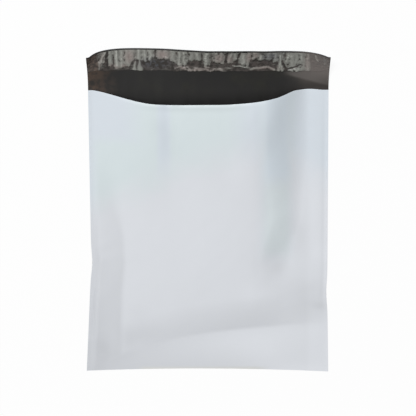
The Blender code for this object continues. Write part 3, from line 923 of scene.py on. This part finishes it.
@dataclass(frozen=True)
class LinerFilm:
    """The glossy, half clear liner: pale where it stands off the glue, dark where it clings, with
    painted highlights on its pleats, painted shade in its valleys and painted warm sheen at its ends.
    """

    name: str = "liner_film"
    deep: Colour = (0.028, 0.024, 0.021)
    clinging: Colour = (0.068, 0.057, 0.052)
    cool_clinging: Colour = (0.055, 0.060, 0.069)
    lifted: Colour = (0.232, 0.235, 0.213)
    cool_lifted: Colour = (0.158, 0.160, 0.168)
    # Painted highlight on the raised pleats
    crest: Colour = (0.385, 0.390, 0.357)
    blush: Colour = (0.258, 0.206, 0.193)
    # Painted warm sheen at the liner's ends, matching the film's curled corners beneath
    left_dark: Colour = (0.058, 0.046, 0.040)
    left_end: Colour = (0.130, 0.098, 0.080)
    right_end: Colour = (0.142, 0.124, 0.115)

    def build(self) -> bpy.types.Material:
        """Make the material.

        Returns:
            The material.
        """
        nodes = Nodes(self.name)
        pale_and_painted_light, cool = nodes.attribute("pale_and_painted_light"), nodes.attribute("cool")
        fleck = nodes.span(nodes.noise(240.0, 4.0), 0.42, 0.62)
        stroke = nodes.span(nodes.noise(280.0, 3.0, (0.25, 1.0, 1.0)), 0.56, 0.72, 0.0, 0.4)
        glued = nodes.mix(cool, self.clinging, self.cool_clinging)
        pale = nodes.mix(cool, self.lifted, self.cool_lifted)
        dark = nodes.mix(stroke, nodes.mix(fleck, self.deep, glued), pale)
        dark = nodes.mix(nodes.attribute("foot"), dark, self.deep)
        colour = nodes.mix(nodes.span(pale_and_painted_light, 0.04, 0.42), dark, pale)
        # Painted highlight where the liner is palest, on its raised pleats
        colour = nodes.mix(nodes.span(pale_and_painted_light, 0.48, 0.95, 0.0, 0.85), colour, self.crest)
        colour = nodes.mix(nodes.attribute("blush"), colour, self.blush)
        shadow = nodes.span(nodes.noise(170.0, 4.0), 0.5, 0.75, 0.0, 0.26)
        colour = nodes.mix(shadow, colour, self.deep)
        # Painted warm sheen at both ends, as on the film beneath
        side = nodes.span(nodes.axis("X"), -0.02, 0.02)
        end = nodes.mix(side, nodes.mix(fleck, self.left_dark, self.left_end), self.right_end)
        colour = nodes.mix(nodes.attribute("ends"), colour, end)
        nodes.bump(nodes.noise(420.0, 4.0), 0.07 * MM)
        return nodes.finish(colour, nodes.span(fleck, 0.0, 1.0, 0.32, 0.42), 0.4)


@dataclass(frozen=True)
class FloorPaper:
    """White seamless paper, which keeps a soft shadow and looks white to the camera."""

    name: str = "floor_paper"
    body: Colour = (0.90, 0.90, 0.90)
    glow: float = 0.89

    def build(self) -> bpy.types.Material:
        """Make the material."""
        nodes = Nodes(self.name)
        nodes.finish((*self.body, 1.0), 0.9, 0.1)
        light = nodes.add("ShaderNodeLightPath")
        seen = nodes.math("MAXIMUM", light.outputs["Is Camera Ray"], light.outputs["Is Glossy Ray"])
        seen = nodes.math("MAXIMUM", seen, light.outputs["Is Transmission Ray"])
        share = nodes.times(seen, self.glow)
        glow = nodes.add("ShaderNodeEmission", Color=(1.0, 1.0, 1.0, 1.0), Strength=1.0)
        both = nodes.add("ShaderNodeMixShader", Fac=share)
        nodes.plug(nodes.shader.outputs[0], both.inputs[1])
        nodes.plug(glow.outputs[0], both.inputs[2])
        nodes.plug(both.outputs[0], nodes.tree.nodes["Material Output"].inputs["Surface"])
        return nodes.material


# Pieces


def add_web(name: str, columns: int, rows: int) -> tuple[bpy.types.Object, Array, Array]:
    """A flat grid primitive to be folded into a sheet.

    Args:
        name: the piece's name.
        columns: how many quads across.
        rows: how many quads along.

    Returns:
        The object, and each vertex's column and row number.
    """
    bpy.ops.object.select_all(action="DESELECT")
    bpy.ops.mesh.primitive_grid_add(x_subdivisions=columns, y_subdivisions=rows, size=2.0)
    piece = bpy.context.object
    piece.name = name
    piece.data.name = name
    flat = np.empty(len(piece.data.vertices) * 3)
    piece.data.vertices.foreach_get("co", flat)
    flat = flat.reshape(-1, 3)
    column = np.rint((flat[:, 0] + 1.0) / 2.0 * columns).astype(int)
    row = np.rint((flat[:, 1] + 1.0) / 2.0 * rows).astype(int)
    return piece, column, row


def fold_web(piece: bpy.types.Object, places: Array) -> None:
    """Move a web's vertices to their places, one row of x, y and z a vertex."""
    piece.data.vertices.foreach_set("co", places.astype(np.float32).ravel())
    piece.data.update()


def thicken(piece: bpy.types.Object, gauge: float, outward: bool, shell_material: int) -> None:
    """Give a sheet its thickness.

    Args:
        piece: the sheet.
        gauge: the thickness.
        outward: True to add the new skin on the side that the faces point to.
        shell_material: how many material slots on the new skin's material is.
    """
    solidify = piece.modifiers.new("gauge", "SOLIDIFY")
    solidify.thickness = gauge
    solidify.offset = 1.0 if outward else -1.0
    solidify.use_even_offset = False
    solidify.material_offset = shell_material
    solidify.material_offset_rim = shell_material
    bpy.context.view_layer.objects.active = piece
    bpy.ops.object.modifier_apply(modifier=solidify.name)


def soften(piece: bpy.types.Object, angle: float) -> None:
    """Shade a piece smooth, with edges sharper than an angle left crisp."""
    bpy.ops.object.select_all(action="DESELECT")
    piece.select_set(True)
    bpy.context.view_layer.objects.active = piece
    bpy.ops.object.shade_smooth_by_angle(angle=angle)
    piece.select_set(False)


def carry(piece: bpy.types.Object, name: str, values: Array) -> None:
    """Store a named number at each vertex of a piece."""
    attribute = piece.data.attributes.new(name, "FLOAT", "POINT")
    attribute.data.foreach_set("value", values.astype(np.float32))


class Layer(Enum):
    """The stretches of the web, in order from the front lip to the flap's edge."""

    FRONT = "front"
    NOSE = "nose"
    BACK = "back"
    FLAP = "flap"


@dataclass
class FilmPouch:
    """The bag itself: one web, folded at the bottom and joined up both sides."""

    form: BagForm
    panel: FrontPanel
    columns: int = 168
    front_rows: int = 158
    nose_rows: int = 6
    back_rows: int = 58
    flap_rows: int = 50
    rim_width: float = 2.2 * MM
    crisp_angle: float = math.radians(50)

    def rows(self) -> list[tuple[Layer, float]]:
        """The web's rows: each one's stretch, and its height, turn or reach there."""
        depth = self.form.pouch_depth
        foot = depth / self.front_rows / 8.0
        down = np.linspace(depth, foot, self.front_rows)
        turn = np.linspace(0.0, math.pi, self.nose_rows + 2)[1:-1]
        back = depth * np.linspace(0.0, 1.0, self.back_rows) ** 0.8
        back[0] = foot
        reach = np.linspace(0.0, self.form.flap_length, self.flap_rows + 1)[1:]
        table = [(Layer.FRONT, value) for value in down]
        table += [(Layer.NOSE, value) for value in turn]
        table += [(Layer.BACK, value) for value in back]
        return table + [(Layer.FLAP, value) for value in reach]

    def nose(self, flat_x: Array, turn: float, foot: float) -> Array:
        """Points round the bottom fold.

        Args:
            flat_x: places across the flat blank.
            turn: how far round the fold, from 0 on the front to pi on the back.
            foot: height at which the fold starts.

        Returns:
            One row of x, y and z a point.
        """
        upper = self.panel.point(flat_x, np.full_like(flat_x, foot))
        lower = self.form.back_point(flat_x, np.full_like(flat_x, foot))
        middle, radius = (upper + lower) / 2.0, (upper[:, 2] - lower[:, 2]) / 2.0
        middle[:, 1] -= radius * math.sin(turn) + foot * math.sin(turn) * 0.5
        middle[:, 2] += radius * math.cos(turn)
        return middle

    def build(self) -> bpy.types.Object:
        """Make the pouch and dress it.

        Returns:
            The piece.
        """
        form = self.form
        table = self.rows()
        foot = table[self.front_rows - 1][1]
        piece, column, row = add_web("film_web", self.columns, len(table) - 1)
        stations = np.linspace(-form.half_width, form.half_width, self.columns + 1)
        weld = form.half_width - form.weld_width
        for side in (-weld, weld):
            stations[np.argmin(np.abs(stations - side))] = side
        places = np.empty((len(column), 3))
        for index, (layer, value) in enumerate(table):
            here = row == index
            flat_x = stations[column[here]]
            if layer is Layer.FRONT:
                places[here] = self.panel.point(flat_x, np.full_like(flat_x, value))
            elif layer is Layer.NOSE:
                places[here] = self.nose(flat_x, value, foot)
            elif layer is Layer.BACK:
                places[here] = form.back_point(flat_x, np.full_like(flat_x, value))
            else:
                places[here] = form.flap_point(flat_x, np.full_like(flat_x, value))
        fold_web(piece, places)
        flat_x = stations[column]
        height = np.array([value if layer is Layer.FRONT else 0.0 for layer, value in table])[row]
        # Painted shade and light on the front panel's white film, none elsewhere
        carry(piece, "tone", self.panel.tone(flat_x, height) * (height > 0.0))
        reach = np.array([value if layer is Layer.FLAP else 0.0 for layer, value in table])[row]
        carry(piece, "rim", smooth((reach - form.flap_length + self.rim_width) / self.rim_width))
        piece.data.materials.append(DarkFilm().build(form))
        piece.data.materials.append(WhiteFilm().build(form))
        thicken(piece, form.gauge, outward=False, shell_material=1)
        soften(piece, self.crisp_angle)
        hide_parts("film_pouch")
        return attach(piece, "root")


@dataclass
class GlueStrip:
    """The flat band of hot melt on the flap."""

    form: BagForm
    foot: float = 27.4 * MM
    width: float = 20.0 * MM
    gauge: float = 0.12 * MM
    clearance: float = 0.03 * MM
    end_inset: float = 1.0 * MM
    columns: int = 168
    rows: int = 14
    crisp_angle: float = math.radians(50)

    def build(self) -> bpy.types.Object:
        """Make the strip and dress it.

        Returns:
            The piece.
        """
        form = self.form
        piece, column, row = add_web("glue_band", self.columns, self.rows)
        end = form.half_width - self.end_inset
        flat_x = np.linspace(-end, end, self.columns + 1)[column]
        share = row / self.rows
        edge = (np.abs(share - 0.5) > 0.49) * 0.25 * MM
        wobble = edge * Ripple(seed=5, wavelength=9.0 * MM).at(flat_x, np.zeros_like(flat_x))
        here, up = form.flap_frame(flat_x, self.foot + self.width * share + wobble)
        fold_web(piece, here + up * self.clearance)
        piece.data.materials.append(HotMelt().build())
        thicken(piece, self.gauge, outward=True, shell_material=0)
        soften(piece, self.crisp_angle)
        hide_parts("adhesive_strip")
        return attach(piece, "root")


@dataclass(frozen=True)
class Crease:
    """One crease of the liner, in millimetres from its left end and shares of its width.

    Attributes:
        start_x: where its upper end lies across the bag.
        start_s: its upper end's share of the width, 1 at the flap's edge.
        end_x: where its lower end lies across the bag.
        end_s: its lower end's share of the width.
        height: how high it stands, below 0 for a valley.
        left: width of its left flank.
        right: width of its right flank.
        flare: how much wider its lower end is than its upper.
    """

    start_x: float
    start_s: float
    end_x: float
    end_s: float
    height: float
    left: float
    right: float
    flare: float = 1.0


RIDGES = tuple(
    Crease(*row) for row in (
        (15.2, 0.62, 13.6, 0.04, 1.7, 1.2, 1.8), (21.6, 0.98, 16.2, 0.38, 2.1, 2.2, 2.2),
        (28.0, 1.00, 28.6, 0.22, 1.2, 2.6, 2.6), (36.2, 1.02, 36.4, 0.12, 2.5, 1.8, 1.8, 2.0),
        (42.2, 1.00, 43.4, 0.20, 1.4, 2.6, 2.6), (49.4, 1.00, 50.2, 0.26, 1.3, 3.0, 3.2),
        (56.0, 1.00, 55.0, 0.50, 1.0, 3.0, 2.6), (59.6, 0.46, 58.2, -0.02, 1.4, 0.9, 0.9, 6.4),
        (64.6, 0.50, 65.4, -0.02, 1.8, 0.9, 0.9, 6.6), (64.0, 1.00, 64.4, 0.54, 1.6, 2.6, 2.4),
        (71.8, 1.02, 72.4, 0.48, 1.7, 2.6, 2.4), (78.4, 1.00, 79.2, 0.46, 1.5, 2.6, 2.8),
        (90.4, 1.00, 90.0, 0.60, 1.0, 3.4, 2.8), (97.2, 1.00, 97.8, 0.58, 1.2, 3.0, 3.6),
        (106.2, 1.00, 106.6, 0.48, 1.2, 3.4, 2.8), (115.4, 1.02, 115.8, 0.26, 2.0, 2.2, 2.0),
        (120.4, 1.00, 121.4, 0.24, 1.8, 2.0, 2.4), (130.8, 1.02, 130.2, 0.54, 1.1, 3.4, 3.0),
        (136.4, 0.96, 139.0, 0.54, 1.6, 2.6, 2.2), (149.8, 1.02, 148.4, 0.24, 1.9, 3.4, 3.2),
        (160.6, 1.00, 162.4, 0.44, 1.2, 2.8, 2.8), (168.6, 0.98, 167.0, 0.44, 1.4, 2.6, 2.6),
        (178.8, 0.84, 177.4, 0.40, 1.5, 2.6, 2.6), (184.6, 1.02, 185.4, 0.60, 1.6, 3.0, 2.6),
        (196.4, 1.02, 195.0, 0.32, 1.9, 4.6, 3.6), (202.0, 1.00, 200.4, 0.36, 1.2, 2.2, 2.6),
        (210.0, 1.00, 209.0, 0.64, 1.2, 2.6, 2.4), (217.2, 0.82, 217.0, 0.60, 2.2, 1.4, 1.4, 2.6),
        (226.6, 1.00, 227.4, 0.60, 1.1, 3.2, 3.0), (234.6, 1.00, 236.0, 0.48, 1.2, 3.0, 2.4),
        (241.4, 0.82, 242.4, 0.50, 2.6, 1.5, 1.3), (241.6, 0.54, 244.4, -0.03, 2.7, 1.5, 1.4),
        (241.4, 0.44, 239.6, -0.02, 1.4, 1.1, 0.6, 6.4), (251.6, 0.92, 250.4, 0.42, 1.4, 2.4, 2.4),
        (256.6, 1.02, 256.0, 0.26, 1.2, 3.0, 2.6), (261.8, 1.00, 261.4, 0.36, 1.0, 2.8, 2.8),
        (267.6, 0.96, 268.8, 0.46, 1.5, 2.8, 3.0), (272.2, 1.00, 271.6, 0.22, 0.9, 2.2, 2.2),
        (251.0, 0.02, 273.0, 0.13, 1.2, 3.2, 3.6), (275.8, 1.00, 276.6, 0.00, 1.7, 2.0, 2.2, 2.0),
        (285.6, 0.92, 288.2, 0.58, 2.6, 1.7, 1.9), (296.4, 1.00, 298.0, 0.40, 0.4, 3.4, 3.0),
        (203.0, 0.09, 226.0, 0.21, 1.4, 2.4, 2.4, 1.3), (226.0, 0.21, 235.0, 0.04, 1.3, 2.6, 2.4),
    )
)
RIM_RIDGES = tuple(
    Crease(*row) for row in (
        (108.0, 0.14, 152.0, 0.03, 0.62, 4.4, 4.0), (148.0, 0.05, 172.0, 0.07, 0.60, 4.0, 3.6),
        (108.0, 0.14, 114.0, 0.18, 0.8, 2.4, 2.4), (114.0, 0.20, 124.0, 0.17, 1.0, 2.4, 2.4),
        (124.0, 0.17, 139.0, 0.12, 1.0, 2.4, 2.6), (136.0, 0.13, 153.0, 0.07, 0.8, 2.4, 2.4),
        (152.0, 0.10, 169.0, 0.10, 0.9, 2.8, 2.8), (145.0, 0.24, 158.0, 0.12, 1.0, 2.0, 2.0),
        (168.0, 0.11, 182.0, 0.14, 0.7, 3.0, 3.0), (180.6, 0.26, 196.0, 0.23, 1.6, 1.2, 1.3),
        (191.6, 0.25, 202.4, 0.15, 1.7, 1.6, 1.5),
    )
)
VALLEYS = tuple(
    Crease(*row) for row in (
        (24.2, 1.00, 23.0, 0.20, -2.4, 1.5, 1.4), (32.2, 0.80, 32.6, 0.26, -0.9, 1.1, 1.1),
        (58.8, 0.50, 51.6, 0.12, -2.2, 1.4, 1.4), (84.2, 1.00, 84.4, 0.62, -0.9, 1.8, 1.6),
        (143.0, 0.96, 143.6, 0.56, -0.8, 1.9, 1.8), (156.0, 0.90, 156.4, 0.40, -0.9, 2.0, 1.6),
        (174.0, 0.90, 173.4, 0.50, -1.5, 1.8, 1.8), (191.4, 1.00, 186.6, 0.40, -1.4, 1.8, 1.8),
        (205.4, 0.80, 203.6, 0.30, -1.0, 1.4, 1.4), (216.0, 0.98, 219.0, 0.90, -1.1, 1.8, 1.8),
        (247.0, 1.00, 246.6, 0.74, -1.1, 2.6, 2.2), (243.6, 0.52, 250.2, 0.00, -3.2, 1.9, 1.9),
        (250.4, 0.06, 268.0, 0.34, -2.6, 1.7, 1.5, 0.5),
    )
)
# Where the liner stops standing off the glue: millimetres from its left end, share of its width
CLING = (
    (0.0, 0.95), (11.0, 0.90), (13.0, 0.10), (17.0, 0.20), (21.0, 0.40), (22.5, 0.95), (25.0, 0.95),
    (26.0, 0.24), (34.0, 0.20), (37.0, 0.13), (42.0, 0.18), (47.0, 0.17), (52.0, 0.20), (56.0, 0.42),
    (60.0, 0.50), (71.0, 0.50), (81.0, 0.46), (83.0, 0.62), (86.0, 0.68), (88.0, 0.56), (101.0, 0.56),
    (103.0, 0.45), (111.0, 0.44), (114.0, 0.24), (124.0, 0.23), (126.5, 0.50), (141.0, 0.52),
    (143.5, 0.58), (146.5, 0.24), (153.0, 0.24), (155.5, 0.52), (160.0, 0.40), (171.0, 0.40),
    (174.0, 0.66), (177.0, 0.38), (181.0, 0.40), (184.0, 0.54), (188.5, 0.50), (191.0, 0.30),
    (202.0, 0.30), (204.5, 0.56), (213.0, 0.60), (221.0, 0.58), (230.0, 0.56), (239.0, 0.42),
    (241.5, 0.04), (246.0, 0.04), (248.5, 0.14), (254.0, 0.06), (258.0, -0.10), (304.8, -0.10),
)
BLUSHES = tuple(
    Spot(*row) for row in (
        (14.6, 0.30, 3.5, 0.40, 0.45), (18.6, 0.70, 4.0, 0.30, 0.40),
        (30.5, 0.24, 5.0, 0.10, 0.70), (36.5, 0.15, 4.0, 0.08, 0.60),
        (45.5, 0.20, 4.5, 0.12, 0.75), (52.0, 0.66, 6.5, 0.32, 0.75),
        (94.0, 0.78, 8.0, 0.25, 0.80), (120.0, 0.15, 10.0, 0.12, 0.80),
        (144.0, 0.09, 32.0, 0.15, 0.72), (165.0, 0.68, 7.5, 0.26, 0.75),
        (178.0, 0.62, 5.0, 0.22, 0.65), (203.0, 0.72, 5.0, 0.28, 0.70),
        (210.5, 0.86, 4.5, 0.18, 0.60), (224.0, 0.15, 15.0, 0.13, 0.75),
        (276.4, 0.50, 4.0, 0.60, 0.60), (287.5, 0.74, 4.0, 0.20, 0.50),
    )
)
COOLS = (
    Spot(86.0, 0.36, 17.0, 0.26, 1.00),
    Spot(229.0, 0.78, 11.0, 0.24, 0.90),
)


@dataclass
class ReleaseLiner:
    """The crinkled liner over the glue."""

    form: BagForm
    foot: float = 24.4 * MM
    width: float = 26.7 * MM
    gauge: float = 0.05 * MM
    clearance: float = 0.22 * MM
    end_inset: float = 1.0 * MM
    columns: int = 500
    rows: int = 40
    crumple: float = 0.27
    crisp_angle: float = math.radians(28)
    pleat_rise: float = 0.65
    loose_rise: float = 0.45
    valley_share: float = 0.5
    foot_rise: float = 0.5
    foot_curl: tuple[float, float, float] = (118.0, 262.0, 30.0)
    foot_level: float = 0.7 * MM
    foot_drop: float = 0.8 * MM
    foot_drop_stops: tuple[float, float, float] = (100.0, 276.0, 16.0)
    foot_wander: float = 0.5 * MM
    sideways: float = 0.25 * MM

    def farthest(self, left: Array, share: Array, creases: tuple[Crease, ...], pick: np.ufunc) -> Array:
        """The highest or lowest of some creases at each point, 0 where there is none.

        Args:
            left: distances from the left end, in millimetres.
            share: shares of the width.
            creases: the creases.
            pick: np.maximum for ridges, np.minimum for valleys.

        Returns:
            One height a point, in millimetres.
        """
        height = np.zeros_like(left)
        for crease in creases:
            height = pick(height, self.creased(left, share, crease))
        return height

    def creased(self, left: Array, share: Array, crease: Crease) -> Array:
        """One crease's height over the liner, in millimetres.

        Args:
            left: distances from the left end, in millimetres.
            share: shares of the width.
            crease: the crease.

        Returns:
            One height a point.
        """
        wide = self.width / MM
        dx, dy = crease.end_x - crease.start_x, (crease.end_s - crease.start_s) * wide
        px, py = left - crease.start_x, (share - crease.start_s) * wide
        length = math.hypot(dx, dy)
        way = (px * dx + py * dy) / length**2
        off = (px * dy - py * dx) / length
        on_way = np.clip(way, 0.0, 1.0)
        beyond = np.abs(way - on_way) * length
        flank = np.where(off < 0.0, crease.right, crease.left) if dy < 0.0 else crease.left
        flank = flank * (1.0 + (crease.flare - 1.0) * on_way)
        away = np.hypot(off, beyond * 1.2)
        ends = 0.35 + 0.65 * smooth(np.minimum(on_way, 1.0 - on_way) * 5.0 + 0.4)
        return crease.height * tent(away, flank) * ends

    def heights(
        self, left: Array, share: Array
    ) -> tuple[Array, Array, Array]:
        """How far the liner stands off the glue, in millimetres.

        Args:
            left: distances from the left end, in millimetres.
            share: shares of the width.

        Returns:
            The heights, how pale the liner is at each point, from 0 to 1, with painted highlights
            on raised pleats and facets and painted shade in valleys, and the pleats' part of the
            heights.
        """
        along = share * self.width / MM
        place = left + 0.5 * Ripple(seed=21, wavelength=14.0).at(left, along)
        ridge = self.farthest(place, share, RIDGES, np.maximum)
        rim = self.farthest(place, share, RIM_RIDGES, np.maximum)
        valley = self.farthest(place, share, VALLEYS, np.minimum)
        ragged = Ripple(seed=33, wavelength=9.0).at(left, np.zeros_like(left))
        ragged = 0.03 * (ragged + Ripple(seed=34, wavelength=4.0).at(left, along))
        cling = np.interp(left, *zip(*CLING)) + ragged
        loose = smooth((share - cling) / 0.12 + 0.5)
        torn = 1.0 + 0.45 * Ripple(seed=36, wavelength=8.0).at(left, along)
        rim = rim * np.clip(torn, 0.45, 1.5)
        loose = np.maximum(loose, 0.76 * smooth(rim * 1.1))
        fine = Crumple(seed=9, cell=3.4, slope=self.crumple).at(left, along)
        finer = Crumple(seed=4, cell=1.7, slope=0.8 * self.crumple).at(left, along)
        crushed = (fine + 0.6 * finer) * (0.35 + 0.65 * loose)
        height = self.pleat_rise * np.maximum(ridge, 0.8 * rim) + self.loose_rise * loose
        height = height + valley * self.valley_share + crushed
        foot = smooth((0.10 - share) / 0.10) * window(left, *self.foot_curl)
        height = height + self.foot_rise * foot
        # Paleness: real where the liner stands off the glue, with painted highlights on raised pleats,
        # rim folds and higher facets and painted shade in valleys
        raised = 0.30 * ridge + 0.10 * rim
        pale = np.maximum(loose * (0.27 + raised), 0.30 * np.minimum(ridge, 1.7))
        pale = pale + 0.25 * valley + 0.6 * crushed
        return np.maximum(height, 0.0), np.clip(pale, 0.0, 1.0), ridge

    def build(self) -> bpy.types.Object:
        """Make the liner and dress it.

        Returns:
            The piece.
        """
        form = self.form
        piece, column, row = add_web("liner_band", self.columns, self.rows)
        end = form.half_width - self.end_inset
        flat_x = np.linspace(-end, end, self.columns + 1)[column]
        share = row / self.rows
        left = (flat_x + end) / MM
        height, pale, ridge = self.heights(left, share)
        ragged = Ripple(seed=12, wavelength=13.0, waves=14).at(left, np.zeros_like(left))
        level = self.foot_level - self.foot_drop * window(left, *self.foot_drop_stops)
        draw = (self.foot_wander * ragged + level) * (1.0 - share) ** 2
        tilt = Ripple(seed=15, wavelength=7.0).at(left, share * self.width / MM)
        here, up = form.flap_frame(
            flat_x + self.sideways * tilt * share * (1.0 - share),
            self.foot + self.width * share + draw,
        )
        fold_web(piece, here + up * (self.clearance + height * MM)[:, None])
        # Paleness, with painted highlights and painted shade
        carry(piece, "pale_and_painted_light", pale)
        blush, cool = np.zeros_like(left), np.zeros_like(left)
        for spot in BLUSHES:
            blush = np.maximum(blush, spot.at(left, share))
        for spot in COOLS:
            cool = np.maximum(cool, spot.at(left, share))
        carry(piece, "blush", blush * smooth(pale * 2.5))
        carry(piece, "cool", cool)
        carry(piece, "foot", 0.6 * smooth((0.14 - share) / 0.14))
        # Where the liner ends take the painted warm sheen
        tail = smooth((left - 266.0) / 14.0) + smooth((18.0 - left) / 10.0)
        carry(piece, "ends", np.clip(tail * (1.0 - 0.75 * smooth(ridge * 1.2)), 0.0, 1.0))
        piece.data.materials.append(LinerFilm().build())
        thicken(piece, self.gauge, outward=True, shell_material=0)
        soften(piece, self.crisp_angle)
        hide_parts("release_liner")
        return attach(piece, "root")


# The studio


@dataclass
class Studio:
    """Floor, lights and camera."""

    floor_size: float = 60.0
    floor_drop: float = 0.3 * MM
    sky: float = 0.50
    key_power: float = 196.0
    key_size: float = 1.9
    key_place: tuple[float, float, float] = (-1.8, 2.6, 4.8)
    camera_target: tuple[float, float, float] = (0.41 * MM, 3.1 * MM, 0.0)
    camera_distance: float = 4.5
    camera_tilt: float = math.radians(9.5)
    camera_roll: float = -0.0021
    camera_lens: float = 312.7

    def add_camera(self) -> None:
        """The camera, high over the bag and tilted from the flap's side."""
        camera = bpy.data.cameras.new("camera")
        camera.lens = self.camera_lens
        camera.sensor_width = 36.0
        camera.clip_end = 100.0
        holder = bpy.data.objects.new("camera", camera)
        back = Vector((0.0, math.sin(self.camera_tilt), math.cos(self.camera_tilt)))
        holder.location = Vector(self.camera_target) + back * self.camera_distance
        turn = Euler((-self.camera_tilt, 0.0, 0.0)).to_matrix().to_4x4()
        roll = Euler((0.0, 0.0, self.camera_roll)).to_matrix().to_4x4()
        holder.rotation_euler = (turn @ roll).to_euler()
        bpy.context.scene.collection.objects.link(holder)
        bpy.context.scene.camera = holder

    def add_floor(self) -> None:
        """The white floor."""
        bpy.ops.object.select_all(action="DESELECT")
        bpy.ops.mesh.primitive_plane_add(size=self.floor_size, location=(0.0, 0.0, -self.floor_drop))
        floor = bpy.context.object
        floor.name = "floor"
        floor.data.materials.append(FloorPaper().build())

    def add_lights(self) -> None:
        """A soft key from the upper left, and an even sky."""
        lamp = bpy.data.lights.new("key", "AREA")
        lamp.energy = self.key_power
        lamp.size = self.key_size
        holder = bpy.data.objects.new("key", lamp)
        holder.location = self.key_place
        holder.rotation_euler = (-Vector(self.key_place)).to_track_quat("-Z", "Y").to_euler()
        bpy.context.scene.collection.objects.link(holder)
        world = bpy.data.worlds.new("sky")
        bpy.context.scene.world = world
        world.use_nodes = True
        tree = world.node_tree
        light = tree.nodes.new("ShaderNodeLightPath")
        level = tree.nodes.new("ShaderNodeMix")
        level.inputs[2].default_value = self.sky
        level.inputs[3].default_value = 1.0
        tree.links.new(light.outputs["Is Camera Ray"], level.inputs["Factor"])
        tree.links.new(level.outputs[0], tree.nodes["Background"].inputs["Strength"])
        tree.nodes["Background"].inputs["Color"].default_value = (1.0, 1.0, 1.0, 1.0)

    def build(self) -> None:
        """Set up the whole studio."""
        bpy.context.scene.view_settings.view_transform = "Standard"
        self.add_camera()
        self.add_floor()
        self.add_lights()


def main() -> None:
    """Build every piece around the frame and log each piece's face count."""
    logging.basicConfig(level=logging.INFO, format="%(message)s")
    Studio().build()
    form = BagForm()
    for maker in (FilmPouch(form, FrontPanel(form)), GlueStrip(form), ReleaseLiner(form)):
        piece = maker.build()
        LOG.info("%s: %d faces", piece.name, len(piece.data.polygons))


if __name__ == "__main__":
    main()
